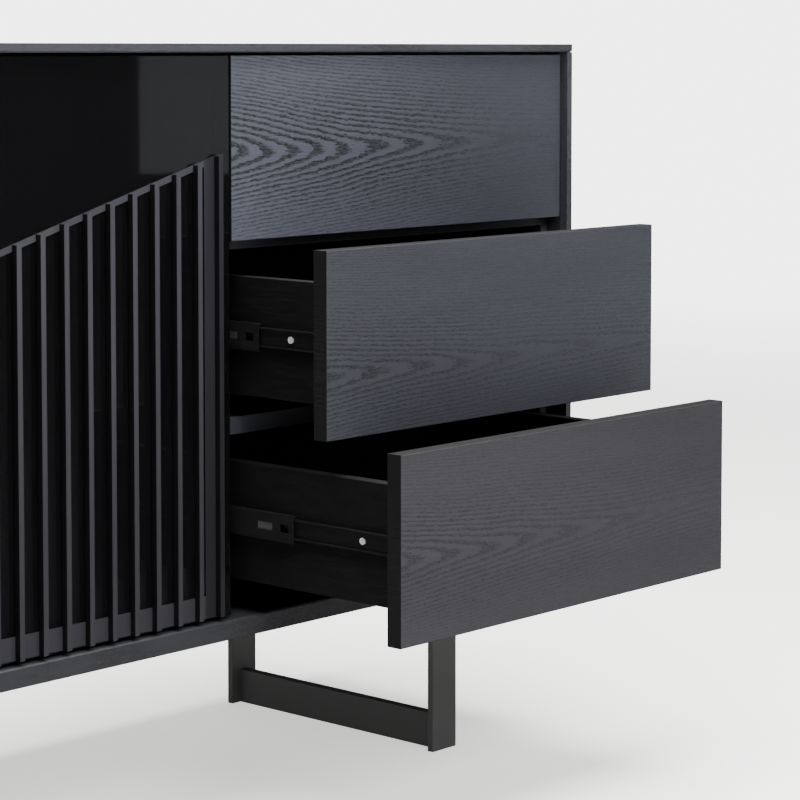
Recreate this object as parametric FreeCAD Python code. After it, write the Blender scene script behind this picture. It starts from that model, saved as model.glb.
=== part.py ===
# Sideboard with three drawers and two glass doors with slats, on two steel leg frames.
# Millimetres, +Z up, +X to the right, the front looks to -Y.
# The origin is on the floor, at the centre of the box round the whole piece as it stands
# here, with the middle and the bottom drawer pulled out.
# Inside this file Y = 0 is the front edge of the carcass, and save() moves it to the origin.
import FreeCAD, Part
import math
import os

Vector = FreeCAD.Vector

# ---------------------------------------------------------------- driving dimensions
overall_width = 1620.0
overall_depth = 400.0
overall_height = 800.0
leg_height = 193.0

board = 20.0                # top, bottom and side panels
lip = 9.0                   # what is left of top and sides in front of the rebate
inner_board = 18.0          # partitions and drawer rails
front_set_back = 8.0        # doors and drawer fronts behind the carcass edge
front_thickness = 18.0
front_clearance = 4.0       # between the fronts and the partitions
front_gap = 3.0             # all round each front
edge_round = 0.8
groove_chamfer = 1.6        # V where the side meets top and bottom
bays = 3

back_thickness = 6.0
back_inset = 10.0
groove_depth = 5.0
groove_play = 0.5           # empty room at the bottom of each groove

rail_depth = 80.0

shelf_thickness = 20.0
shelf_above_middle = 6.5    # underside above the middle of the compartment
shelf_set_back = 30.0       # behind the front edge of the partitions
shelf_play = 1.0
hole_pitch = 64.0
hole_front = 89.0
hole_rear_inset = 74.0      # in front of the back panel
sleeve_radius = 3.5
sleeve_web = 2.0            # wood left between sleeves in from both faces
sleeve_wall = 0.9
sleeve_rim = 1.0
pin_radius = 2.5
pin_tongue = 9.0
pin_tongue_width = 10.0
pin_tongue_thickness = 3.0

cam_radius = 7.5
cam_depth = 12.5
cam_from_end = 42.0
cam_front = 87.0
cam_rear_inset = 93.0       # from the rear edge
bolt_radius = 3.0
bolt_in_panel = 11.0
fit_play = 0.1              # round parts in their bores, per side

dowel_radius = 4.0
dowel_half = 14.0
dowel_spacing = 40.0

bar_width = 40.0            # steel strip of the leg frames
post_thickness = 8.0
floor_bar_thickness = 12.0
plate_thickness = 4.0
leg_inset = 166.0           # from the end of the carcass to the strip
leg_set_back = 33.0         # from the front and from the back
bar_round = 0.7
leg_screw_radius = 3.0
leg_screw_head = 5.0
leg_screw_head_height = 3.0
leg_screw_depth = 14.0
leg_screws_per_frame = 4

drawer_count = 3
drawer_pulls = (0.0, 134.0, 233.0)   # how far each one stands open, from the top
drawer_rear_room = 18.0     # between the closed drawer and the back panel
drawer_board = 15.0
drawer_side_drop = 34.667   # below the upper edge of its front
drawer_side_rise = 32.0     # above the lower edge of its front
drawer_bottom_thickness = 6.0
drawer_bottom_rise = 10.0   # above the lower edge of the side
drawer_cam_from_front = 24.0
drawer_cam_places = (0.1698, 0.6792)    # up the side, between the drawer bottom and the upper edge

runner_gap = 12.7           # between the carcass and the drawer side
steel = 1.2
cabinet_rail_height = 35.0
cabinet_rail_flange = 9.5
rail_play = 2.3             # between the flanges of the cabinet and the middle member
cage_play = 0.6             # between the ball cage and the middle member
middle_rail_offset = 5.0
middle_rail_flange = 5.5
ball_room = 1.4             # between the ball cage and the drawer member
drawer_rail_flange = 5.1
cabinet_rail_set_back = 4.0     # behind the front edge of the partitions
middle_rail_set_back = 20.0
drawer_rail_set_back = 4.0      # behind the drawer front
drawer_rail_short = 2.0         # in front of the rear end of the drawer side
middle_rail_slots = ((7.0, 12.0), (30.0, 22.0), (150.0, 40.0), (260.0, 30.0))
cage_thickness = 0.8
cage_depth = 4.0
cage_offset = 6.4
cage_length = 28.0
cage_set_back = 28.0            # behind the front end of the middle rail
rail_screw_head = 3.5
rail_screw_head_height = 1.4
rail_screw_radius = 1.7
rail_screw_depth = 11.0
rail_screw_first = 50.0         # behind the drawer front or partition edge
rail_screw_last = 34.0          # in front of the rear end of the drawer side
rail_screw_count = 3

glass_thickness = 4.0
frame_width = 24.0
slat_width = 6.0
slat_margin = 16.0          # from the edge of the door to the first slat
slat_count = 18
slat_sheet = 1.0            # thickness of the frame that carries the slats
slat_foot = 2.0             # above the lower edge of the door
slat_rail_height = 23.0
slat_stile_width = 20.0
slat_top_rail = 6.5
slat_drop = 94.9            # sloping cut below the top of the doors, at the right door's right edge
slat_slope = 0.2888              # rise per millimetre to the right

hinge_from_end = 70.0       # hinge height above the bottom and below the top panel
arm_pivot_in = 18.9         # link pivot on the arm: in from the edge of the door
arm_pivot_back = 36.3       # and behind the carcass edge
cup_pivot_in = 5.8          # link pivot in the door
cup_pivot_back = 16.9
link_height = 14.0
link_thickness = 2.6
link_eye = 3.0
hinge_pin = 1.5
hinge_play = 0.08
ear_thickness = 2.4
ear_play = 0.4
notch_width = 18.0
notch_height = 34.0
arm_width = 11.0
arm_length = 42.0
arm_plate_thickness = 2.0
arm_plate_height = 44.0
arm_plate_start = 52.0
arm_plate_length = 44.0
plate_screw_depth = 10.0

latch_length = 60.0
latch_width = 14.0
latch_height = 16.0
latch_from_edge = 30.0
latch_gap = 0.4             # plunger tip behind the door frame
plunger_radius = 3.5
plunger_play = 0.3
plunger_length = 34.0
plunger_drop = 8.0
plunger_travel = 4.0

# ---------------------------------------------------------------- derived places
half = overall_width / 2
floor_top = leg_height + board
ceiling = overall_height - board
lip_under = overall_height - lip
inner_front = front_set_back + front_thickness + front_clearance
front_back = front_set_back + front_thickness
front_width = (overall_width - 2 * (lip + front_gap) - (bays - 1) * front_gap) / bays
front_bottom = floor_top + front_gap
front_top = lip_under - front_gap
drawer_front_height = (front_top - front_bottom - (drawer_count - 1) * front_gap) / drawer_count
back_face = overall_depth - back_inset - back_thickness
drawer_depth = back_face - front_back - drawer_rear_room
drawer_side_height = drawer_front_height - drawer_side_rise - drawer_side_drop
hole_rear = back_face - hole_rear_inset
cam_rear = overall_depth - cam_rear_inset
sleeve_depth = (inner_board - sleeve_web) / 2
frame_depth = front_thickness - glass_thickness
middle_rail_height = cabinet_rail_height - 2 * (steel + rail_play)
cage_height = middle_rail_height - 2 * (steel + cage_play)
drawer_rail_height = cage_height - 2 * (cage_thickness + ball_room)
middle_rail_length = drawer_depth - middle_rail_set_back
drawer_rail_length = drawer_depth - drawer_rail_set_back - drawer_rail_short
rail_screw_pitch = (drawer_depth - rail_screw_first - rail_screw_last) / (rail_screw_count - 1)
origin_y = (front_set_back - max(drawer_pulls) + overall_depth) / 2
shelf_under = (floor_top + ceiling) / 2 + shelf_above_middle


def front_left(bay):
    return -half + lip + front_gap + bay * (front_width + front_gap)


partition_x = [front_left(bay) - front_gap / 2 for bay in (1, 2)]
bay_left = [-half + board] + [x + inner_board / 2 for x in partition_x]
bay_right = [x - inner_board / 2 for x in partition_x] + [half - board]


# ---------------------------------------------------------------- shared shapes
def block(x0, x1, y0, y1, z0, z1):
    return Part.makeBox(x1 - x0, y1 - y0, z1 - z0, Vector(x0, y0, z0))


def rod(x, y, z, radius, length, direction):
    return Part.makeCylinder(radius, length, Vector(x, y, z), Vector(*direction))


def rounded(shape, radius, keep):
    """Rounds the straight edges that keep() picks by their two ends."""
    edges = [e for e in shape.Edges if keep(e.Vertexes[0].Point, e.Vertexes[-1].Point)]
    return shape.makeFillet(radius, edges) if edges else shape


def cut(shape, tools):
    for tool in tools:
        shape = shape.cut(tool)
    return shape


def mirrored(shape, x):
    return shape.mirror(Vector(x, 0, 0), Vector(1, 0, 0))


def moved(shape, dy):
    copy = shape.copy()
    copy.translate(Vector(0, dy, 0))
    return copy


def save(name, solids):
    """Writes one node: a single solid, or a group of separate solids."""
    solids = solids if isinstance(solids, list) else [solids]
    placed = [moved(s, -origin_y) for s in solids]
    shape = placed[0] if len(placed) == 1 else Part.makeCompound(placed)
    assert shape.isValid(), name
    shape.exportStep(os.path.join("parts", name + ".step"))


# ---------------------------------------------------------------- carcass fittings
# Each upright board: its node name, its middle, and the face that its cam locks are bored from.
uprights = [
    ("left_side_panel", -half + board / 2, bay_left[0], -1),
    ("centre_partition", partition_x[0], bay_right[0], 1),
    ("drawer_partition", partition_x[1], bay_right[1], 1),
    ("right_side_panel", half - board / 2, bay_right[2], 1),
]
cam_ys = (cam_front, cam_rear)
cam_zs = (floor_top + cam_from_end, ceiling - cam_from_end)


def cam_bore(face, into, y, z, radius, depth):
    return rod(face, y, z, radius, depth, (into, 0, 0))


def cam_lock(face, into, y, z):
    """Disc with a cross slot in the face that shows."""
    disc = cam_bore(face, into, y, z, cam_radius - fit_play, cam_depth - fit_play)
    slot_long, slot_wide, slot_deep = cam_radius * 1.1, 1.4, 2.0
    for dy, dz in ((slot_long, slot_wide), (slot_wide, slot_long)):
        x0, x1 = sorted((face, face + into * slot_deep))
        disc = disc.cut(block(x0, x1, y - dy / 2, y + dy / 2, z - dz / 2, z + dz / 2))
    return disc


def bolt_span(end):
    """Lowest and highest point of the bolt at the lower or the upper end of an upright."""
    if end == 0:
        return floor_top - bolt_in_panel, cam_zs[0] - cam_radius
    return cam_zs[1] + cam_radius, ceiling + bolt_in_panel


def bolt(x, y, end, radius):
    z0, z1 = bolt_span(end)
    return rod(x, y, z0, radius, z1 - z0, (0, 0, 1))


def bolt_bore(x, y, end):
    """Bore of a bolt, running on to the middle of its cam lock."""
    z0, z1 = bolt_span(end)
    z0, z1 = (z0, z1 + cam_radius) if end == 0 else (z0 - cam_radius, z1)
    return rod(x, y, z0, bolt_radius + fit_play, z1 - z0, (0, 0, 1))


def hole_rows():
    """Every sleeve: face of the board, direction into the board, y and z."""
    faces = ((bay_left[0], -1), (bay_right[0], 1), (bay_left[1], -1), (bay_right[1], 1))
    middle = shelf_under - pin_tongue_thickness / 2
    for face, into in faces:
        for y in (hole_front, hole_rear):
            for step in (-1, 0, 1):
                yield face, into, y, middle + step * hole_pitch, step == 0


def sleeve(face, into, y, z):
    tube = rod(face, y, z, sleeve_radius - fit_play, sleeve_depth - fit_play, (into, 0, 0))
    rim = rod(face, y, z, sleeve_radius + sleeve_rim, sleeve_wall, (-into, 0, 0))
    bore = rod(face - into * sleeve_wall, y, z, pin_radius + fit_play,
               sleeve_depth + sleeve_wall, (into, 0, 0))
    return tube.fuse(rim).cut(bore)


def shelf_pin(face, into, y, z):
    """Peg in the sleeve, with a flat tongue under the shelf."""
    out = face - into * sleeve_wall
    peg = rod(out, y, z, pin_radius, sleeve_depth, (into, 0, 0))
    x0, x1 = sorted((out, out - into * pin_tongue))
    tongue = block(x0, x1, y - pin_tongue_width / 2, y + pin_tongue_width / 2,
                   shelf_under - pin_tongue_thickness, shelf_under)
    return peg.fuse(tongue)


def dowel_places():
    """Dowels of the drawer rails: face of the upright, direction into it, y and z."""
    for face, into in ((bay_left[2], -1), (bay_right[2], 1)):
        for z in rail_middles:
            for side in (-1, 1):
                yield face, into, inner_front + rail_depth / 2 + side * dowel_spacing / 2, z


def dowel(face, into, y, z, radius):
    return rod(face - into * dowel_half, y, z, radius, 2 * dowel_half, (into, 0, 0))


def drawer_front_bottom(k):
    return front_top - (k + 1) * drawer_front_height - k * front_gap


rail_middles = [drawer_front_bottom(k) - front_gap / 2 for k in range(drawer_count - 1)]


# ---------------------------------------------------------------- drawer runners
def channel(x, y0, length, middle, height, flange, turn):
    """C-shaped steel profile along Y: its web lies at x, its flanges run towards turn."""
    x0, x1 = sorted((x, x + turn * flange))
    solid = block(x0, x1, y0, y0 + length, middle - height / 2, middle + height / 2)
    x0, x1 = sorted((x + turn * steel, x + turn * (flange + steel)))
    hollow = block(x0, x1, y0 - 1, y0 + length + 1,
                   middle - height / 2 + steel, middle + height / 2 - steel)
    return solid.cut(hollow)


def runner_middle(k):
    return drawer_front_bottom(k) + drawer_front_height / 2


def screw_ys(start):
    return [start + rail_screw_first + i * rail_screw_pitch for i in range(rail_screw_count)]


bay_centre = (bay_left[2] + bay_right[2]) / 2


def both_sides(solid):
    return [solid, mirrored(solid, bay_centre)]


def pan_screw(x, y, z, turn, depth):
    """Screw along X: the head stands out of x against turn, the shaft runs in along turn."""
    head = rod(x, y, z, rail_screw_head, rail_screw_head_height, (-turn, 0, 0))
    slot = 0.8
    x0, x1 = sorted((x - turn * rail_screw_head_height, x - turn * rail_screw_head_height / 2))
    for dy, dz in ((rail_screw_head, slot), (slot, rail_screw_head)):
        head = head.cut(block(x0, x1, y - dy / 2, y + dy / 2, z - dz / 2, z + dz / 2))
    return head.fuse(rod(x, y, z, rail_screw_radius, depth, (turn, 0, 0)))


def cabinet_rail(k):
    x, z = bay_left[2], runner_middle(k)
    rail = channel(x, inner_front + cabinet_rail_set_back, drawer_depth, z,
                   cabinet_rail_height, cabinet_rail_flange, 1)
    return cut(rail, [rod(x - 1, y, z, rail_screw_radius + fit_play, steel + 2, (1, 0, 0))
                      for y in screw_ys(inner_front)])


def middle_rail(k):
    x, z = bay_left[2] + middle_rail_offset, runner_middle(k)
    y0 = inner_front + middle_rail_set_back
    rail = channel(x, y0, middle_rail_length, z, middle_rail_height, middle_rail_flange, 1)
    slots = []
    for start, length in middle_rail_slots:
        slots.append(block(x - 1, x + steel + 1, y0 + start, y0 + start + length, z - 4, z + 4))
    return moved(cut(rail, slots), -drawer_pulls[k] / 2)


def drawer_rail(k):
    x, z = bay_left[2] + runner_gap, runner_middle(k)
    rail = channel(x, front_back + drawer_rail_set_back, drawer_rail_length, z,
                   drawer_rail_height, drawer_rail_flange, -1)
    holes = [rod(x - steel - 1, y, z, rail_screw_radius + fit_play, steel + 2, (1, 0, 0))
             for y in screw_ys(front_back)]
    return moved(cut(rail, holes), -drawer_pulls[k])


def ball_cage(k):
    """Thin plastic strip folded round the drawer rail, inside the middle rail."""
    x, z = bay_left[2] + cage_offset, runner_middle(k)
    y0 = inner_front + middle_rail_set_back + cage_set_back
    outer = block(x, x + cage_depth, y0, y0 + cage_length, z - cage_height / 2, z + cage_height / 2)
    inner = block(x + cage_thickness, x + cage_depth + 1, y0 - 1, y0 + cage_length + 1,
                  z - cage_height / 2 + cage_thickness, z + cage_height / 2 - cage_thickness)
    return moved(outer.cut(inner), -drawer_pulls[k] / 2)


# ---------------------------------------------------------------- carcass
def make_top():
    skin = block(-half, half, 0, overall_depth, lip_under, overall_height)
    bevel = groove_chamfer
    skin = skin.makeChamfer(bevel, [e for e in skin.Edges
                                    if all(abs(v.Point.z - lip_under) < 1e-6
                                           and abs(abs(v.Point.x) - half) < 1e-6
                                           for v in e.Vertexes)])
    core = block(bay_left[0], bay_right[2], inner_front, overall_depth, ceiling, lip_under)
    panel = skin.fuse(core).removeSplitter()
    groove = block(bay_left[0], bay_right[2], back_face, back_face + back_thickness,
                   ceiling, ceiling + groove_depth)
    bores = [bolt_bore(x, y, 1)
             for name, x, face, into in uprights[1:3] for y in cam_ys]
    return cut(panel, [groove] + bores)


def make_bottom():
    panel = block(-half, half, 0, overall_depth, leg_height, floor_top)
    bevel = groove_chamfer
    panel = panel.makeChamfer(bevel, [e for e in panel.Edges
                                      if all(abs(v.Point.z - floor_top) < 1e-6
                                             and abs(abs(v.Point.x) - half) < 1e-6
                                             for v in e.Vertexes)])
    groove = block(bay_left[0] - groove_depth, bay_right[2] + groove_depth, back_face,
                   back_face + back_thickness, floor_top - groove_depth, floor_top)
    bores = [bolt_bore(x, y, 0)
             for name, x, face, into in uprights for y in cam_ys]
    bores += [rod(x, y, leg_height, leg_screw_radius, leg_screw_depth, (0, 0, 1))
              for x in leg_xs for y in leg_screw_ys]
    return cut(panel, [groove] + bores)


def make_upright(index):
    name, x, face, into = uprights[index]
    side = index in (0, 3)
    if side:
        outer = -half if index == 0 else half
        x0, x1 = sorted((outer, face))
        panel = block(x0, x1, 0, overall_depth, floor_top, lip_under)
        panel = panel.makeChamfer(groove_chamfer, [
            e for e in panel.Edges
            if all(abs(v.Point.x - outer) < 1e-6 for v in e.Vertexes)
            and abs(e.Vertexes[0].Point.z - e.Vertexes[-1].Point.z) < 1e-6])
        x0, x1 = sorted((outer + into * -lip, face))
        cuts = [block(x0, x1, 0, inner_front, floor_top, lip_under)]
        cuts.append(block(*sorted((face, face + into * groove_depth)), back_face,
                          back_face + back_thickness, floor_top, lip_under))
    else:
        panel = block(x - inner_board / 2, x + inner_board / 2, inner_front, overall_depth,
                      floor_top, ceiling)
        cuts = [block(x + s * inner_board / 2 - (groove_depth if s > 0 else 0),
                      x + s * inner_board / 2 + (groove_depth if s < 0 else 0),
                      back_face, back_face + back_thickness, floor_top, ceiling)
                for s in (-1, 1)]
    faces = (bay_left[0], bay_right[0], bay_left[1], bay_right[1])
    for row_face, row_into, y, z, pinned in hole_rows():
        if abs(row_face - x) < board:
            cuts.append(rod(row_face, y, z, sleeve_radius, sleeve_depth, (row_into, 0, 0)))
    ends = (0,) if side else (0, 1)
    for y in cam_ys:
        for end in ends:
            cuts.append(cam_bore(face, into, y, cam_zs[end], cam_radius, cam_depth))
            cuts.append(bolt_bore(x, y, end))
    for dowel_face, dowel_into, y, z in dowel_places():
        if abs(dowel_face - x) < board:
            cuts.append(dowel(dowel_face, dowel_into, y, z, dowel_radius + fit_play))
    if index >= 2:
        for k in range(drawer_count):
            for y in screw_ys(inner_front):
                turn = -1 if index == 2 else 1
                edge = bay_left[2] if index == 2 else bay_right[2]
                cuts.append(rod(edge, y, runner_middle(k), rail_screw_radius,
                                rail_screw_depth - steel, (turn, 0, 0)))
    for bay, hinge_into in ((0, -1), (1, 1)):
        hinge_face = hinge_faces[bay]
        if abs(hinge_face - x) < board:
            cuts += [rod(hinge_face, y, z, hinge_pin, plate_screw_depth, (hinge_into, 0, 0))
                     for y, z in plate_screws()]
    return cut(panel, cuts)


# The side panels are held to the top by grooved corner blocks behind the lip in the real
# piece; here the top rests on them face to face.
leg_xs = [side * (half - leg_inset - bar_width / 2) for side in (-1, 1)]
leg_first_screw = leg_set_back + post_thickness + 25.0
leg_screw_step = (overall_depth - 2 * leg_first_screw) / (leg_screws_per_frame - 1)
leg_screw_ys = [leg_first_screw + i * leg_screw_step for i in range(leg_screws_per_frame)]
hinge_faces = (bay_left[0], bay_right[1])
hinge_zs = (floor_top + hinge_from_end, ceiling - hinge_from_end)


def plate_screws():
    """Where the two screws of each hinge plate go into the board."""
    y = arm_plate_start + arm_plate_length / 2
    for z in hinge_zs:
        for side in (-1, 1):
            yield y, z + side * arm_plate_height * 0.36


def leg_frame(x):
    """Two posts, a floor bar on edge and a screw plate, welded from steel strip."""
    front, rear = leg_set_back, overall_depth - leg_set_back
    x0, x1 = x - bar_width / 2, x + bar_width / 2

    def vertical(a, b):
        return abs(a.x - b.x) < 1e-6 and abs(a.y - b.y) < 1e-6

    posts = [rounded(block(x0, x1, y, y + post_thickness, 0, leg_height - plate_thickness),
                     bar_round, vertical) for y in (front, rear - post_thickness)]

    def top_edge(a, b):
        return a.z > bar_width - 1e-6 and b.z > bar_width - 1e-6 and abs(a.x - b.x) < 1e-6

    bar = rounded(block(x - floor_bar_thickness / 2, x + floor_bar_thickness / 2,
                        front + post_thickness, rear - post_thickness, 0, bar_width),
                  bar_round, top_edge)
    plate = block(x0, x1, front, rear, leg_height - plate_thickness, leg_height)
    frame = posts[0].fuse([posts[1], bar, plate])
    return cut(frame, [rod(x, y, leg_height - plate_thickness - 1, leg_screw_radius + 0.2,
                           plate_thickness + 2, (0, 0, 1)) for y in leg_screw_ys])


def leg_screw(x, y):
    under = leg_height - plate_thickness
    head = rod(x, y, under - leg_screw_head_height, leg_screw_head, leg_screw_head_height, (0, 0, 1))
    socket = rod(x, y, under - leg_screw_head_height, leg_screw_head * 0.4,
                 leg_screw_head_height * 0.6, (0, 0, 1))
    shaft = rod(x, y, under, leg_screw_radius, plate_thickness + leg_screw_depth, (0, 0, 1))
    return head.cut(socket).fuse(shaft)


# ---------------------------------------------------------------- drawers
def drawer_solids(k):
    """Front, sides, back, bottom and fasteners of one drawer, standing open as it does."""
    x0, x1 = front_left(bays - 1), front_left(bays - 1) + front_width
    z0 = drawer_front_bottom(k)
    side_z = z0 + drawer_side_rise
    side_top = side_z + drawer_side_height
    side_x = bay_left[2] + runner_gap
    rear = front_back + drawer_depth
    bottom_z = side_z + drawer_bottom_rise

    front = block(x0, x1, front_set_back, front_back, z0, z0 + drawer_front_height)
    front = rounded(front, edge_round,
                    lambda a, b: a.y < front_set_back + 1e-6 and b.y < front_set_back + 1e-6)
    side = block(side_x, side_x + drawer_board, front_back, rear, side_z, side_top)
    inner_left, inner_right = side_x + drawer_board, 2 * bay_centre - side_x - drawer_board
    back = block(inner_left, inner_right, rear - drawer_board, rear, side_z, side_top)
    tray = block(inner_left - groove_depth, inner_right + groove_depth, front_back - groove_depth,
                 rear - drawer_board + groove_depth, bottom_z, bottom_z + drawer_bottom_thickness)
    reach = groove_depth - groove_play
    bottom = block(inner_left - reach, inner_right + reach, front_back - reach,
                   rear - drawer_board + reach, bottom_z, bottom_z + drawer_bottom_thickness)

    cam_y = front_back + drawer_cam_from_front
    bolt_x = side_x + drawer_board / 2
    bolt_y = front_back - bolt_in_panel
    bolt_length = cam_y - cam_radius - bolt_y
    cams, bolts, cam_cuts, bolt_cuts = [], [], [], []
    bottom_top = bottom_z + drawer_bottom_thickness
    for place in drawer_cam_places:
        z = bottom_top + place * (side_top - bottom_top)
        cams.append(cam_lock(side_x + drawer_board, -1, cam_y, z))
        cam_cuts.append(cam_bore(side_x + drawer_board, -1, cam_y, z, cam_radius, cam_depth))
        bolts.append(rod(bolt_x, bolt_y, z, bolt_radius, bolt_length, (0, 1, 0)))
        bolt_cuts.append(rod(bolt_x, bolt_y, z, bolt_radius + fit_play, bolt_length + cam_radius,
                             (0, 1, 0)))
    screws = [pan_screw(side_x - steel, y, runner_middle(k), 1, rail_screw_depth)
              for y in screw_ys(front_back)]
    screw_cuts = [rod(side_x, y, runner_middle(k), rail_screw_radius,
                      rail_screw_depth - steel, (1, 0, 0)) for y in screw_ys(front_back)]

    front = cut(front, [tray] + bolt_cuts + [mirrored(b, bay_centre) for b in bolt_cuts])
    side = cut(side, [tray] + cam_cuts + bolt_cuts + screw_cuts)
    back = back.cut(tray)
    fasteners = []
    for solid in cams + bolts + screws:
        fasteners += both_sides(solid)
    pieces = {
        "front": [front], "left_side": [side], "right_side": [mirrored(side, bay_centre)],
        "back": [back], "bottom": [bottom], "fasteners": fasteners,
    }
    return {part: [moved(s, -drawer_pulls[k]) for s in solids] for part, solids in pieces.items()}


# ---------------------------------------------------------------- doors
def door_edges(bay):
    return front_left(bay), front_left(bay) + front_width


def hinge_frame(bay):
    """Edge of the door that carries the hinges, and the direction into the door."""
    x0, x1 = door_edges(bay)
    return (x0, 1) if bay == 0 else (x1, -1)


def door_glass(bay):
    x0, x1 = door_edges(bay)
    pane = block(x0, x1, front_set_back, front_set_back + glass_thickness, front_bottom, front_top)
    return rounded(pane, edge_round,
                   lambda a, b: a.y < front_set_back + 1e-6 and b.y < front_set_back + 1e-6)


def door_frame(bay):
    """Aluminium profile behind the glass, notched at the hinges."""
    x0, x1 = door_edges(bay)
    y0 = front_set_back + glass_thickness
    ring = block(x0, x1, y0, y0 + frame_depth, front_bottom, front_top)
    ring = ring.cut(block(x0 + frame_width, x1 - frame_width, y0, y0 + frame_depth,
                          front_bottom + frame_width, front_top - frame_width))
    edge, inward = hinge_frame(bay)
    a, b = sorted((edge, edge + inward * notch_width))
    return cut(ring, [block(a, b, y0, y0 + frame_depth, z - notch_height / 2, z + notch_height / 2)
                      for z in hinge_zs])


def slat_top(x):
    """Height of the sloping cut at x, one line across both doors."""
    return front_top - slat_drop + slat_slope * (x - door_edges(1)[1])


def upright_strip(x0, x1, y0, y1, z0, drop):
    """Bar from z0 up to the sloping cut less drop, its top end cut along the slope."""
    corners = [(x0, z0), (x1, z0), (x1, slat_top(x1) - drop), (x0, slat_top(x0) - drop)]
    wire = Part.makePolygon([Vector(x, y0, z) for x, z in corners + corners[:1]])
    return Part.Face(wire).extrude(Vector(0, y1 - y0, 0))


def door_slats(bay):
    """Sheet frame on the glass, and the slats that stand on it."""
    x0, x1 = door_edges(bay)
    left, right = x0 + slat_margin, x1 - slat_margin
    y0, y1 = front_set_back - slat_sheet, front_set_back
    z0 = front_bottom + slat_foot
    z1 = z0 + slat_rail_height
    solids = [block(left, right, y0, y1, z0, z1)]
    for a, b in ((left, left + slat_stile_width), (right - slat_stile_width, right)):
        solids.append(upright_strip(a, b, y0, y1, z1, slat_top_rail))
    corners = [(left, slat_top(left) - slat_top_rail), (right, slat_top(right) - slat_top_rail),
               (right, slat_top(right)), (left, slat_top(left))]
    wire = Part.makePolygon([Vector(x, y0, z) for x, z in corners + corners[:1]])
    solids.append(Part.Face(wire).extrude(Vector(0, y1 - y0, 0)))
    step = (right - left - slat_width) / (slat_count - 1)
    for i in range(slat_count):
        x = left + i * step
        solids.append(upright_strip(x, x + slat_width, 0, y0, z0, 0))
    return solids


def hinge_points(bay):
    """Arm pivot and door pivot of the link, in x and y."""
    edge, inward = hinge_frame(bay)
    return (edge + inward * arm_pivot_in, arm_pivot_back), (edge + inward * cup_pivot_in, cup_pivot_back)


def ears(x, y, z, x0, x1, y0, y1):
    """Two plates above and below the link, bored for its pin."""
    solids = []
    inner = link_height / 2 + ear_play
    for low in (z + inner, z - inner - ear_thickness):
        plate = block(*sorted((x0, x1)), y0, y1, low, low + ear_thickness)
        solids.append(plate.cut(rod(x, y, low - 1, hinge_pin, ear_thickness + 2, (0, 0, 1))))
    return solids


def hinge_rod(x, y, z):
    length = link_height + 2 * (ear_play + ear_thickness)
    return rod(x, y, z - length / 2, hinge_pin, length, (0, 0, 1))


def hinge_cup(bay, z):
    """Bracket in the notch of the door frame, with the pin of the link."""
    edge, inward = hinge_frame(bay)
    x, y = hinge_points(bay)[1]
    y0 = front_set_back + glass_thickness
    wall = edge + inward * notch_width
    a, b = sorted((wall, wall - inward * arm_plate_thickness))
    plate = block(a, b, y0, y0 + frame_depth, z - notch_height / 2, z + notch_height / 2)
    lugs = ears(x, y, z, wall - inward * arm_plate_thickness, x - inward * link_eye,
                y0 + 1, y0 + frame_depth - 1)
    return [plate.fuse(lugs).removeSplitter(), hinge_rod(x, y, z)]


def hinge_arm(bay, z):
    """Plate on the upright, the arm on it and the pin at its front end."""
    edge, inward = hinge_frame(bay)
    face = hinge_faces[bay]
    x, y = hinge_points(bay)[0]
    a, b = sorted((face, face + inward * arm_plate_thickness))
    plate = block(a, b, arm_plate_start, arm_plate_start + arm_plate_length,
                  z - arm_plate_height / 2, z + arm_plate_height / 2)
    plate = cut(plate, [rod(face, sy, sz, hinge_pin, arm_plate_thickness * 2, (inward, 0, 0))
                        for sy, sz in plate_screws()])
    ear_half = link_height / 2 + ear_play + ear_thickness
    x_in = x + inward * link_eye
    arm_front = y + link_eye + 1.5
    body = block(*sorted((face + inward * arm_plate_thickness, x_in)), arm_front,
                 arm_front + arm_length, z - ear_half, z + ear_half)
    lugs = ears(x, y, z, face + inward * (arm_plate_thickness + 0.5), x_in,
                y - link_eye, arm_front)
    return [plate.fuse([body] + lugs).removeSplitter(), hinge_rod(x, y, z)]


def plate_screw(bay, y, z):
    edge, inward = hinge_frame(bay)
    face = hinge_faces[bay] + inward * arm_plate_thickness
    head = rod(face, y, z, hinge_pin * 2, 1.2, (inward, 0, 0))
    return head.fuse(rod(face, y, z, hinge_pin, plate_screw_depth, (-inward, 0, 0)))


def hinge_link(bay, z):
    """Flat bar with an eye at each end."""
    (ax, ay), (bx, by) = hinge_points(bay)
    low = z - link_height / 2
    run = Vector(bx - ax, by - ay, 0)
    side = Vector(-run.y, run.x, 0).normalize() * (link_thickness / 2)
    corners = [Vector(ax, ay, low) + side, Vector(bx, by, low) + side,
               Vector(bx, by, low) - side, Vector(ax, ay, low) - side]
    bar = Part.Face(Part.makePolygon(corners + corners[:1])).extrude(Vector(0, 0, link_height))
    eyes = [rod(x, y, low, link_eye, link_height, (0, 0, 1)) for x, y in ((ax, ay), (bx, by))]
    bores = [rod(x, y, low - 1, hinge_pin + hinge_play, link_height + 2, (0, 0, 1))
             for x, y in ((ax, ay), (bx, by))]
    return cut(bar.fuse(eyes), bores)


# ---------------------------------------------------------------- push latches
def latch_x(bay):
    """Each latch stands beside the centre partition, where the doors meet."""
    return bay_right[0] - latch_from_edge if bay == 0 else bay_left[1] + latch_from_edge


plunger_z = ceiling - plunger_drop
plunger_tip = front_back + latch_gap


def latch_body(bay):
    x = latch_x(bay)
    y0 = inner_front + 2.0
    case = block(x - latch_width / 2, x + latch_width / 2, y0, y0 + latch_length,
                 ceiling - latch_height, ceiling)
    room = plunger_tip + plunger_length + plunger_travel + 1.0 - y0
    return case.cut(rod(x, y0, plunger_z, plunger_radius + plunger_play, room, (0, 1, 0)))


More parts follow.
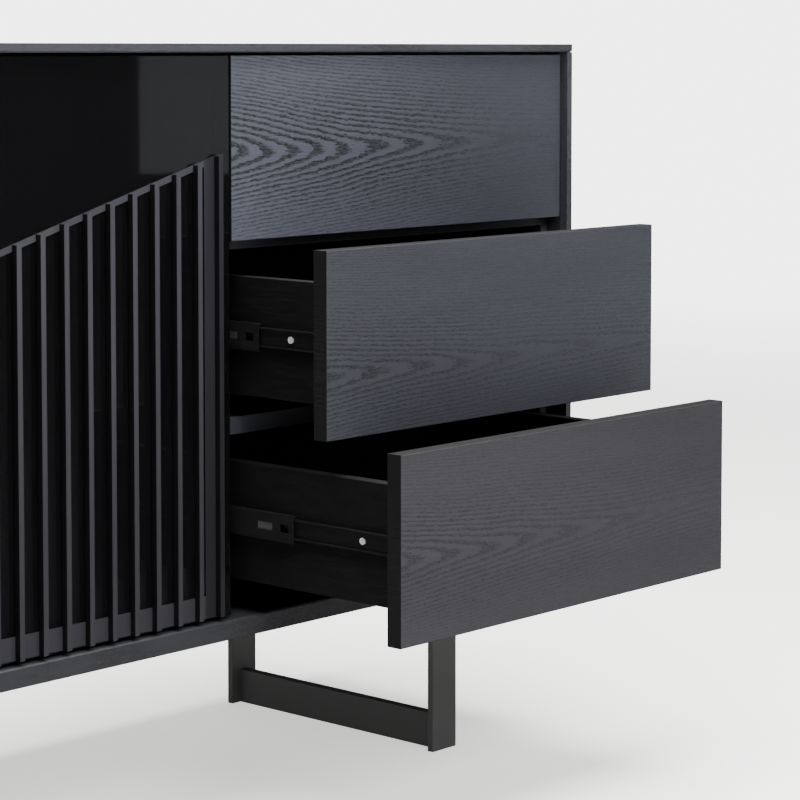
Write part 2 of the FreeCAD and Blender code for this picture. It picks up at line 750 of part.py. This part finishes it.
def latch_plunger(bay):
    """Rod with a domed tip that the door pushes."""
    x = latch_x(bay)
    stem = rod(x, plunger_tip, plunger_z, plunger_radius, plunger_length, (0, 1, 0))
    return rounded(stem, plunger_radius * 0.4,
                   lambda a, b: a.y < plunger_tip + 1e-6 and b.y < plunger_tip + 1e-6)


# ---------------------------------------------------------------- the nodes
os.makedirs("parts", exist_ok=True)

save("top_panel", make_top())
save("bottom_panel", make_bottom())
for index, (name, x, face, into) in enumerate(uprights):
    save(name, make_upright(index))

reach = groove_depth - groove_play
save("back_panels", [block(bay_left[b] - reach, bay_right[b] + reach, back_face,
                           back_face + back_thickness, floor_top - reach, ceiling + reach)
                     for b in range(bays)])

rails = []
for middle in rail_middles:
    rail = block(bay_left[2], bay_right[2], inner_front, inner_front + rail_depth,
                 middle - inner_board / 2, middle + inner_board / 2)
    rails.append(cut(rail, [dowel(f, i, y, z, dowel_radius + fit_play)
                            for f, i, y, z in dowel_places()]))
save("drawer_rails", rails)

for bay, name in ((0, "left_shelf"), (1, "middle_shelf")):
    save(name, block(bay_left[bay] + shelf_play, bay_right[bay] - shelf_play,
                     inner_front + shelf_set_back, back_face - shelf_play,
                     shelf_under, shelf_under + shelf_thickness))

save("pin_sleeves", [sleeve(f, i, y, z) for f, i, y, z, pinned in hole_rows()])
save("shelf_pins", [shelf_pin(f, i, y, z) for f, i, y, z, pinned in hole_rows() if pinned])

cams, bolts = [], []
for index, (name, x, face, into) in enumerate(uprights):
    for y in cam_ys:
        for end in ((0,) if index in (0, 3) else (0, 1)):
            cams.append(cam_lock(face, into, y, cam_zs[end]))
            bolts.append(bolt(x, y, end, bolt_radius))
save("cam_locks", cams)
save("cam_bolts", bolts + [dowel(f, i, y, z, dowel_radius) for f, i, y, z in dowel_places()])

save("left_leg_frame", leg_frame(leg_xs[0]))
save("right_leg_frame", leg_frame(leg_xs[1]))
save("leg_screws", [leg_screw(x, y) for x in leg_xs for y in leg_screw_ys])

cabinet_rails, cabinet_screws = [], []
for k in range(drawer_count):
    cabinet_rails += both_sides(cabinet_rail(k))
    for y in screw_ys(inner_front):
        cabinet_screws += both_sides(pan_screw(bay_left[2] + steel, y, runner_middle(k), -1,
                                               rail_screw_depth))
save("cabinet_rails", cabinet_rails)
save("cabinet_rail_screws", cabinet_screws)

for k, place in enumerate(("upper", "middle", "lower")):
    for part, solids in drawer_solids(k).items():
        save(place + "_drawer_" + part, solids)
    save(place + "_drawer_rails", both_sides(drawer_rail(k)))
    save(place + "_middle_rails", both_sides(middle_rail(k)))
    save(place + "_ball_cages", both_sides(ball_cage(k)))

hinge_arms = []
for bay, place in ((0, "left"), (1, "right")):
    save(place + "_door_glass", door_glass(bay))
    save(place + "_door_frame", door_frame(bay))
    save(place + "_door_slats", door_slats(bay))
    cups, links = [], []
    for z in hinge_zs:
        cups += hinge_cup(bay, z)
        links.append(hinge_link(bay, z))
        hinge_arms += hinge_arm(bay, z)
    hinge_arms += [plate_screw(bay, y, z) for y, z in plate_screws()]
    save(place + "_hinge_cups", cups)
    save(place + "_hinge_links", links)
    save(place + "_latch_plunger", latch_plunger(bay))
save("hinge_arms", hinge_arms)
save("latch_bodies", [latch_body(0), latch_body(1)])
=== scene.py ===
# Sideboard with three drawers and two smoked glass doors with slats, on steel leg frames.
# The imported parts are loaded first; every section below finishes one piece or one group of
# like pieces in the order in which the real sideboard is put together.
import math

import bpy
import numpy as np
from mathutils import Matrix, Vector


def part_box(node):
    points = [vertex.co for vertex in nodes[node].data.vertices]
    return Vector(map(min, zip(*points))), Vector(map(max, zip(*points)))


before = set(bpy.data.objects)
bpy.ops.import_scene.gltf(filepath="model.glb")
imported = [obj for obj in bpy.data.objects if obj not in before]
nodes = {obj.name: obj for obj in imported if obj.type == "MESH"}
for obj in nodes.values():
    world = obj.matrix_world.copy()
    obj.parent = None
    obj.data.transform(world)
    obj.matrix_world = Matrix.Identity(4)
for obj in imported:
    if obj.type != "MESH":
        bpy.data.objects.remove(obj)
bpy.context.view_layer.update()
scene = bpy.context.scene

# ---------------------------------------------------------------- the camera
# A long lens to the left of the piece, a little below the height of its top, looking slightly
# down; the picture is shifted down by what the tilt leaves over, so uprights stay upright.
eye = bpy.data.cameras.new("eye")
eye.lens = 117.12
eye.sensor_width = 36.0
eye.shift_y = -0.2398
eye.clip_end = 60.0
camera = bpy.data.objects.new("eye", eye)
camera.location = (-1.5643, -1.9834, 0.7944)
camera.rotation_euler = (math.radians(90 - 3.5), 0.0, -0.831)
scene.collection.objects.link(camera)
scene.camera = camera


# ---------------------------------------------------------------- the studio
# A pale floor that fades into the pale room all round, so no horizon shows, and large soft
# lights: one high at the left front, one low at the right front, one overhead.
class Nodes:
    """A material's node tree, with one method for each kind of node it needs."""

    def __init__(self, name):
        self.material = bpy.data.materials.new(name)
        self.material.use_nodes = True
        self.tree = self.material.node_tree
        self.surface = self.tree.nodes["Principled BSDF"]
        self.out = self.tree.nodes["Material Output"]

    def put(self, kind, sockets, **settings):
        """Adds a node; a socket's value is a number, a colour or another node's output."""
        node = self.tree.nodes.new(kind)
        for key, value in settings.items():
            setattr(node, key, value)
        for key, value in sockets.items():
            if isinstance(value, bpy.types.NodeSocket):
                self.tree.links.new(value, node.inputs[key])
            else:
                node.inputs[key].default_value = value
        return node

    def sum(self, operation, a, b=0.0, clamp=False):
        return self.put("ShaderNodeMath", {0: a, 1: b}, operation=operation,
                        use_clamp=clamp).outputs[0]

    def place(self, scale=(1, 1, 1), move=(0, 0, 0)):
        """Object coordinates times scale, plus move."""
        where = self.put("ShaderNodeTexCoord", {}).outputs["Object"]
        return self.put("ShaderNodeMapping", {"Vector": where, "Scale": scale,
                                              "Location": move}).outputs[0]

    def noise(self, where, scale, detail=2.0, rough=0.5, distort=0.0):
        return self.put("ShaderNodeTexNoise", {"Vector": where, "Scale": scale, "Detail": detail,
                                               "Roughness": rough, "Distortion": distort}
                        ).outputs["Fac"]

    def steps(self, value, low, high, to_low=0.0, to_high=1.0, smooth=True):
        node = self.put("ShaderNodeMapRange", {"Value": value, "From Min": low, "From Max": high,
                                               "To Min": to_low, "To Max": to_high})
        node.interpolation_type = "SMOOTHSTEP" if smooth else "LINEAR"
        return node.outputs["Result"]

    def blend(self, share, first, second):
        node = self.put("ShaderNodeMix", {}, data_type="RGBA")
        for index, value in ((0, share), (6, first), (7, second)):
            if isinstance(value, bpy.types.NodeSocket):
                self.tree.links.new(value, node.inputs[index])
            else:
                node.inputs[index].default_value = value
        return node.outputs[2]

    def finish(self, **sockets):
        for key, value in sockets.items():
            key = key.replace("_", " ")
            if isinstance(value, bpy.types.NodeSocket):
                self.tree.links.new(value, self.surface.inputs[key])
            else:
                self.surface.inputs[key].default_value = value
        return self.material

    def bump(self, height, depth, strength=1.0):
        return self.put("ShaderNodeBump", {"Height": height, "Distance": depth,
                                           "Strength": strength}).outputs[0]


def disc(name, radius, rings, spokes, material):
    """Point (r, a) on the grid lies at r (cos a, sin a, 0); r grows as the square of its share."""
    r = radius * np.linspace(0.0, 1.0, rings + 1)[1:] ** 2
    a = np.linspace(0.0, 2 * np.pi, spokes, endpoint=False)
    rr, aa = np.meshgrid(r, a, indexing="ij")
    points = np.stack([rr * np.cos(aa), rr * np.sin(aa), 0 * rr], -1).reshape(-1, 3)
    points = np.vstack([[[0.0, 0.0, 0.0]], points])
    i, j = np.meshgrid(np.arange(rings - 1), np.arange(spokes), indexing="ij")
    k = (j + 1) % spokes
    quads = np.stack([1 + i * spokes + j, 1 + (i + 1) * spokes + j,
                      1 + (i + 1) * spokes + k, 1 + i * spokes + k], -1).reshape(-1, 4)
    fan = np.stack([np.zeros(spokes, int), 1 + np.arange(spokes),
                    1 + (np.arange(spokes) + 1) % spokes], -1)
    mesh = bpy.data.meshes.new(name)
    mesh.from_pydata(points.tolist(), [], quads.tolist() + fan.tolist())
    mesh.materials.append(material)
    made = bpy.data.objects.new(name, mesh)
    scene.collection.objects.link(made)
    return made


room = bpy.data.worlds.new("room")
room.use_nodes = True
room_light = room.node_tree.nodes["Background"]
room_light.inputs["Color"].default_value = (0.985, 0.985, 1.0, 1)
path = room.node_tree.nodes.new("ShaderNodeLightPath")
heading = room.node_tree.nodes.new("ShaderNodeTexCoord")
split = room.node_tree.nodes.new("ShaderNodeSeparateXYZ")
room.node_tree.links.new(heading.outputs["Generated"], split.inputs[0])
ambient = room.node_tree.nodes.new("ShaderNodeMapRange")    # a dark wall at the left
ambient.inputs["From Min"].default_value = -0.8
ambient.inputs["From Max"].default_value = 0.5
ambient.inputs["To Min"].default_value = 0.10
ambient.inputs["To Max"].default_value = 0.85
room.node_tree.links.new(split.outputs["X"], ambient.inputs["Value"])
last = 0.05                                      # black cards all round, as gloss sees them
for ray, strength in (("Is Diffuse Ray", ambient.outputs["Result"]), ("Is Camera Ray", 4.6)):
    level = room.node_tree.nodes.new("ShaderNodeMix")
    for socket, value in ((0, path.outputs[ray]), (2, last), (3, strength)):
        if isinstance(value, float):
            level.inputs[socket].default_value = value
        else:
            room.node_tree.links.new(value, level.inputs[socket])
    last = level.outputs[0]
room.node_tree.links.new(last, room_light.inputs["Strength"])
scene.world = room

ground = Nodes("studio floor")
far = ground.put("ShaderNodeVectorMath", {0: ground.place()}, operation="LENGTH").outputs["Value"]
speckle = ground.noise(ground.place(), 900.0, 2.0)
ground.finish(Base_Color=ground.blend(speckle, (0.815, 0.805, 0.775, 1), (0.845, 0.835, 0.805, 1)),
              Roughness=0.8, Alpha=ground.steps(far, 2.2, 6.5, 1.0, 0.0),
              Emission_Color=(1.0, 0.995, 0.97, 1), Emission_Strength=0.91)
floor = disc("studio_floor", 7.0, 24, 72, ground.material)
floor.visible_glossy = False


def soft_light(name, place, towards, size, power, tint):
    light = bpy.data.lights.new(name, "AREA")
    light.shape = "RECTANGLE"
    light.size, light.size_y = size
    light.energy = power
    light.color = tint
    lamp = bpy.data.objects.new(name, light)
    lamp.location = place
    lamp.rotation_euler = (Vector(towards) - Vector(place)).to_track_quat("-Z", "Y").to_euler()
    scene.collection.objects.link(lamp)
    return lamp


soft_light("key_front", (-0.2, -3.1, 2.5), (0.15, 0.0, 0.70), (1.4, 1.2), 122, (1.0, 0.995, 1.0))
soft_light("overhead", (0.2, -0.5, 4.2), (0.2, -0.4, 0.0), (4.0, 3.0), 760, (1.0, 1.0, 1.0))
panel = soft_light("panel_right", (2.42, -2.20, 1.12), (0.3, 0.0, 0.87), (0.56, 1.2), 1.2,
                   (0.93, 0.95, 1.0))
panel.visible_diffuse = False


# ---------------------------------------------------------------- carcass boards
# Top, bottom, sides, partitions, rails and shelves: boards veneered with oak, stained black
# so that the open pores stay visible, and lacquered satin. The grain runs along each board.
def grain_axes(node):
    """Directions of grain, width and thickness of a board: its longest side first."""
    low, high = (np.array(c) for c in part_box(node))
    return np.argsort(-(high - low))


def stained_oak(name, node, deep, pale, arch, seed=0.0, along=None, figure_fade_and_shade=None, show=1.0,
                painted_edge_shade=None):
    """Annual rings cut by the face of the board, with pores strung out along the grain.

    With u along the grain and v across it, h = sqrt((v - v0)^2 + d^2) and the ring number is
    pitch * (h + 5 h^2 + lean * (u - 0.8 (u - start)^2)) plus slow noise: nested pointed arches
    that close towards +u, lie further apart there, and crowd together at the edges of the
    board. Pores are noise stretched along u.
    """
    m = Nodes(name)
    order = grain_axes(node) if along is None else along
    split = m.put("ShaderNodeSeparateXYZ",
                  {0: m.put("ShaderNodeTexCoord", {}).outputs["Object"]})
    u, v, w = (split.outputs[int(i)] for i in order)
    turned = m.put("ShaderNodeCombineXYZ", {0: u, 1: v, 2: w}).outputs[0]

    def strung(along_u, across, move=0.0):
        return m.put("ShaderNodeMapping", {"Vector": turned, "Scale": (along_u, across, across),
                                           "Location": (seed + move, seed, 0.0)}).outputs[0]

    def wander(where, reach, detail=2.0):
        """Noise about 0, within half of reach either way."""
        return m.sum("MULTIPLY", m.sum("SUBTRACT", m.noise(where, 1.0, detail), 0.5), reach)

    centre, inner, lean, pitch, start = arch
    off = m.sum("SUBTRACT", v, centre)
    off = m.sum("ADD", off, wander(strung(3.0, 4.0), 0.020))
    hyper = m.sum("SQRT", m.sum("ADD", m.sum("MULTIPLY", off, off), inner * inner))
    ring = m.sum("ADD", m.sum("MULTIPLY", m.sum("MULTIPLY", hyper, hyper), 5.0), hyper)
    past = m.sum("SUBTRACT", u, start)
    eased = m.sum("SUBTRACT", u, m.sum("MULTIPLY", m.sum("MULTIPLY", past, past), 0.8))
    ring = m.sum("ADD", ring, m.sum("MULTIPLY", eased, lean))
    ring = m.sum("ADD", ring, wander(strung(2.6, 9.0, 4.0), 0.012))
    ring = m.sum("ADD", ring, wander(strung(11.0, 40.0, 8.0), 0.0050))
    ring = m.sum("ADD", ring, wander(strung(105.0, 310.0, 12.0), 0.0050))
    phase = m.sum("FRACT", m.sum("MULTIPLY", ring, pitch))
    early = m.sum("MULTIPLY", m.steps(phase, 0.0, 0.08), m.steps(phase, 0.28, 0.66, 1.0, 0.0))
    weight = m.steps(hyper, 0.02, 0.085, 1.0, 0.40)
    if figure_fade_and_shade:
        weight = m.sum("MULTIPLY", weight, m.steps(u, figure_fade_and_shade[0], figure_fade_and_shade[1], 1.0, figure_fade_and_shade[2]))
    early = m.sum("MULTIPLY", early, m.sum("MULTIPLY", weight, show))
    pores = m.noise(strung(190.0, 1050.0, 1.0), 1.0, 1.0, 0.6)
    hairs = m.noise(strung(45.0, 640.0, 5.0), 1.0, 2.0, 0.6)
    pits = m.sum("MULTIPLY", m.steps(pores, 0.38, 0.60), m.sum("ADD", early, 0.12))
    hair = m.steps(hairs, 0.40, 0.66)
    tone = m.noise(strung(2.0, 11.0, 9.0), 1.0, 2.0)
    body = m.blend(m.steps(tone, 0.3, 0.7), pale, tuple(0.86 * c for c in pale[:3]) + (1,))
    if figure_fade_and_shade:                                     # painted shade: the board darkens towards +u, where its figure ends
        body = m.blend(m.steps(u, figure_fade_and_shade[0] - 0.15, figure_fade_and_shade[1], 0.0, figure_fade_and_shade[3]), body, deep)
    body = m.blend(m.sum("MULTIPLY", early, 0.48), body, deep)
    body = m.blend(m.sum("MULTIPLY", hair, 0.16), body, deep)
    colour = m.blend(m.sum("MULTIPLY", pits, 0.70, True), body,
                     tuple(0.5 * c for c in deep[:3]) + (1,))
    if painted_edge_shade is not None:                         # painted shade: faces that look neither front nor back, the banded edges, take the dark edge tone
        facing = m.put("ShaderNodeSeparateXYZ", {0: m.put("ShaderNodeTexCoord", {}).outputs["Normal"]})
        faced = m.steps(m.sum("ABSOLUTE", facing.outputs["Y"]), 0.4, 0.8)
        colour = m.blend(faced, painted_edge_shade, colour)
    height = m.sum("SUBTRACT", m.sum("MULTIPLY", hair, -0.25), pits)
    return m.finish(Base_Color=colour, Normal=m.bump(height, 0.00018, 0.8),
                    Roughness=m.steps(pits, 0.0, 1.0, 0.50, 0.72), Specular_IOR_Level=0.36)


def give(node, material):
    for held in nodes[node].material_slots:
        held.material = material


carcass = ("top_panel", "bottom_panel", "left_side_panel", "right_side_panel", "centre_partition",
           "drawer_partition", "left_shelf", "middle_shelf", "drawer_rails")
for number, board in enumerate(carcass):
    # painted shade: the bottom panel gets a darker copy of the stain than the other boards
    pale = (0.021, 0.0215, 0.0255, 1) if board == "bottom_panel" else (0.036, 0.037, 0.045, 1)
    low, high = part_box(board)
    across = int(grain_axes(board)[1])
    give(board, stained_oak("stained oak, " + board.replace("_", " "), board,
                            (0.010, 0.010, 0.012, 1), pale,
                            ((low[across] + high[across]) / 2 - 0.21, 0.05, 0.02, 190.0, 0.0),
                            seed=1.7 * number, show=0.6))


# ---------------------------------------------------------------- back panels
# Thin hardboard let into grooves, black lacquer on the face, with the faint orange peel of
# a sprayed coat.
def lacquer(name, base, light, rough, peel, depth, specular=0.4):
    """Two close tones over slow noise, and a bump of peel waves per metre."""
    m = Nodes(name)
    cloud = m.noise(m.place(), 9.0, 3.0)
    grain = m.noise(m.place(), peel, 2.0)
    return m.finish(Base_Color=m.blend(cloud, base, light), Normal=m.bump(grain, depth, 0.6),
                    Roughness=m.steps(cloud, 0.2, 0.8, rough - 0.05, rough + 0.05),
                    Specular_IOR_Level=specular)


give("back_panels", lacquer("black lacquered hardboard", (0.012, 0.012, 0.013, 1),
                            (0.018, 0.018, 0.019, 1), 0.55, 1400.0, 0.00008))

# ---------------------------------------------------------------- leg frames
# Steel strip, welded and powder coated in a fine textured dark grey.
powder = lacquer("textured powder coat", (0.044, 0.044, 0.0444, 1), (0.054, 0.054, 0.0544, 1),
                 0.50, 2600.0, 0.00006, 0.45)
give("left_leg_frame", powder)
give("right_leg_frame", powder)
black_zinc = lacquer("black zinc screw", (0.020, 0.020, 0.021, 1), (0.030, 0.030, 0.031, 1),
                     0.38, 2200.0, 0.00002, 0.5)
give("leg_screws", black_zinc)

# ---------------------------------------------------------------- drawer fronts
# Flat-sawn oak veneer, stained black: pointed arches on the upper front, quieter bands on the
# two below. Edges are banded with the same veneer.
# painted light and shade: the upper front gets a much paler tone than the two fronts below
fronts = {
    "upper_drawer_front": ((0.692, 0.013, 0.196, 148.0, 0.27), 2.0, (0.46, 0.74, 0.12, 0.50), 1.20,
                           (0.0585, 0.0620, 0.0810, 1)),
    "middle_drawer_front": ((0.470, 0.010, 0.12, 165.0, 0.27), 11.0, (0.30, 0.60, 0.35, 0.0), 0.8,
                            (0.0320, 0.0335, 0.0420, 1)),
    "lower_drawer_front": ((0.300, 0.010, 0.12, 165.0, 0.27), 23.0, (0.30, 0.75, 0.30, 0.0), 0.55,
                           (0.0300, 0.0297, 0.0348, 1)),
}
for board, (arch, seed, figure_fade_and_shade, show, pale) in fronts.items():
    give(board, stained_oak("stained oak, " + board.replace("_", " "), board,
                            (0.0078, 0.0085, 0.0115, 1),
                            pale,
                            arch, seed, (0, 2, 1), figure_fade_and_shade, show, (0.0052, 0.0052, 0.0056, 1)))

# ---------------------------------------------------------------- drawer boxes
# Particle board wrapped in black foil with a faint pressed grain, sides grooved for a thin
# bottom.
for place in ("upper", "middle", "lower"):
    for board in ("left_side", "right_side", "back", "bottom"):
        node = place + "_drawer_" + board
        m = Nodes("black foil, " + node.replace("_", " "))
        order = grain_axes(node)
        stretch = [0.0, 0.0, 0.0]
        for rank, factor in enumerate((25.0, 420.0, 420.0)):
            stretch[int(order[rank])] = factor
        print_grain = m.noise(m.place(tuple(stretch)), 1.0, 3.0, 0.6)
        cloud = m.noise(m.place(), 6.0, 2.0)
        tone = m.blend(cloud, (0.0028, 0.0028, 0.0030, 1), (0.0042, 0.0042, 0.0044, 1))
        tone = m.blend(m.steps(print_grain, 0.45, 0.7, 0.0, 0.5), tone, (0.007, 0.007, 0.0073, 1))
        give(node, m.finish(Base_Color=tone, Roughness=m.steps(print_grain, 0.3, 0.8, 0.5, 0.62),
                            Normal=m.bump(print_grain, 0.00005, 0.6), Specular_IOR_Level=0.28))

# ---------------------------------------------------------------- drawer runners
# Rolled steel channels, zinc plated and blackened, with the long scratches that the balls
# leave, pale plastic ball cages and bright pan head screws.
def plated(name, base, light, rough, metallic, scale):
    """Metal with streaks along the rolled length and a slow cloud in the polish."""
    m = Nodes(name)
    streak = m.noise(m.place(scale), 1.0, 3.0, 0.6)
    cloud = m.noise(m.place(), 40.0, 2.0)
    m.finish(Metallic=metallic)
    return m.finish(Base_Color=m.blend(streak, base, light), Normal=m.bump(streak, 0.00002, 0.4),
                    Roughness=m.steps(cloud, 0.25, 0.75, rough - 0.06, rough + 0.08))


rolled = plated("blackened zinc", (0.030, 0.030, 0.032, 1), (0.060, 0.060, 0.064, 1), 0.34, 0.85,
                (18.0, 18.0, 900.0))
bright = plated("nickel", (0.50, 0.50, 0.50, 1), (0.66, 0.66, 0.67, 1), 0.24, 1.0,
                (400.0, 400.0, 400.0))
zinc = plated("bright zinc screw", (0.40, 0.40, 0.41, 1), (0.56, 0.56, 0.57, 1), 0.42, 0.25,
              (400.0, 400.0, 400.0))
cage = lacquer("moulded cage plastic", (0.035, 0.035, 0.034, 1), (0.06, 0.06, 0.058, 1), 0.45, 800.0,
               0.00003)
for node in ["cabinet_rails"] + [p + k for p in ("upper", "middle", "lower")
                                 for k in ("_drawer_rails", "_middle_rails")]:
    give(node, rolled)
for place in ("upper", "middle", "lower"):
    give(place + "_ball_cages", cage)
    give(place + "_drawer_fasteners", zinc)
for node in ("cabinet_rail_screws", "cam_locks", "cam_bolts", "shelf_pins", "pin_sleeves",
             "hinge_arms", "left_hinge_cups", "right_hinge_cups", "left_hinge_links",
             "right_hinge_links"):
    give(node, bright)

# ---------------------------------------------------------------- doors
# A pane of smoked glass with polished edges on a black anodised profile, and in front of it
# the slats on their sheet frame, lacquered dark grey with a satin sheen.
pane = Nodes("smoked glass")
film = pane.noise(pane.place(), 3.0, 3.0)
pane.finish(Base_Color=pane.blend(film, (0.020, 0.020, 0.023, 1), (0.026, 0.026, 0.030, 1)),
            Roughness=pane.steps(film, 0.3, 0.7, 0.015, 0.035), Transmission_Weight=0.90, IOR=1.5)
profile = plated("black anodised profile", (0.022, 0.022, 0.023, 1), (0.034, 0.034, 0.036, 1),
                 0.36, 0.7, (30.0, 30.0, 700.0))


def slat_lacquer(name, front, painted_shade_tone, stile):
    """Full tone on faces that look forward or up; painted shade on the flanks, on the stile at the
    right and towards the lower end.
    """
    m = Nodes(name)
    facing = m.put("ShaderNodeSeparateXYZ",
                   {0: m.put("ShaderNodeTexCoord", {}).outputs["Normal"]}).outputs
    # painted shade: faces that look sideways take the dark shade tone
    lit_face_share = m.steps(m.sum("ABSOLUTE", facing["X"]), 0.3, 0.8, 1.0, 0.0)
    where = m.put("ShaderNodeSeparateXYZ", {0: m.place()}).outputs
    # painted shade: the stile at the right takes part of the dark shade tone
    stile_shade = m.steps(where["X"], stile, stile + 0.0015)
    cloud = m.noise(m.place((60.0, 60.0, 9.0)), 1.0, 2.0)
    tone = m.blend(cloud, front, tuple(1.25 * c for c in front[:3]) + (1,))
    tone = m.blend(m.sum("MULTIPLY", stile_shade, 0.55), tone, painted_shade_tone)
    # painted reflection and shade: the slats darken towards their lower end
    tone = m.blend(m.steps(where["Z"], 0.24, 0.62, 0.42, 0.0), tone, painted_shade_tone)
    m.finish(Metallic=0.25, Specular_IOR_Level=0.5)
    return m.finish(Base_Color=m.blend(lit_face_share, painted_shade_tone, tone),
                    Roughness=m.steps(cloud, 0.2, 0.8, 0.30, 0.40),
                    Normal=m.bump(m.noise(m.place(), 1500.0, 2.0), 0.00003, 0.5))


for side in ("left", "right"):
    give(side + "_door_glass", pane.material)
    give(side + "_door_frame", profile)
    slats = side + "_door_slats"
    give(slats, slat_lacquer("satin grey lacquer, " + side + " slats", (0.034, 0.034, 0.040, 1),
                             (0.0042, 0.0042, 0.0048, 1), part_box(slats)[1][0] - 0.0205))

# ---------------------------------------------------------------- push latches
# Grey moulded cases under the top, each with a sprung plunger that meets the door.
moulded = lacquer("grey moulded plastic", (0.10, 0.10, 0.10, 1), (0.13, 0.13, 0.13, 1), 0.5,
                  900.0, 0.00003)
for node in ("latch_bodies", "left_latch_plunger", "right_latch_plunger"):
    give(node, moulded)
